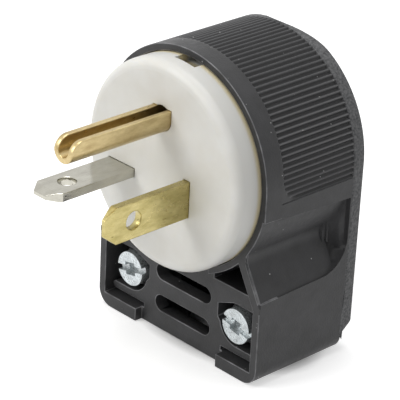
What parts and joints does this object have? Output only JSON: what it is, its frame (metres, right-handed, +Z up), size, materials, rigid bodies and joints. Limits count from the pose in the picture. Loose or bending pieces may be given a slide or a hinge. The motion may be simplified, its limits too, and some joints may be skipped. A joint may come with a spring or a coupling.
{
  "type": "angled plug",
  "caption": "Angled grounding power plug: arched ribbed shell with finger notches, white blade disc, flat blades, U-shaped ground pin, and a cord entry in the base.",
  "frame": {"origin": "on the base plane, at the axis of the cord entry", "axes": "+Z up from the cord entry to the top of the arch, blades along -Y, line blade on the +X side"},
  "size_m": [0.0388, 0.0484, 0.0538],
  "materials": {
    "housing": "satin charcoal nylon",
    "cover": "grained charcoal nylon",
    "white_nylon": "milky white nylon",
    "brass": "stamped brass",
    "ground_brass": "stamped brass, lightly tarnished",
    "nickel": "nickel-plated brass",
    "zinc": "bright zinc plate",
    "green_metal": "green-dyed plate"
  },
  "bodies": {
    "root": {"front_housing": "housing", "rear_cover": "cover", "blade_carrier": "white_nylon", "terminal_retainer": "white_nylon", "line_blade": "brass", "neutral_blade": "nickel", "ground_pin": "ground_brass", "line_terminal_screw": "brass", "neutral_terminal_screw": "zinc", "ground_terminal_screw": "green_metal", "line_pressure_plate": "brass", "neutral_pressure_plate": "zinc", "ground_pressure_plate": "brass", "retainer_screw_low": "zinc", "retainer_screw_high": "zinc", "clamp_screw_left": "zinc", "clamp_screw_right": "zinc", "cover_insert_left": "brass", "cover_insert_right": "brass", "cord_saddle": "housing"}
  },
  "joints": []
}
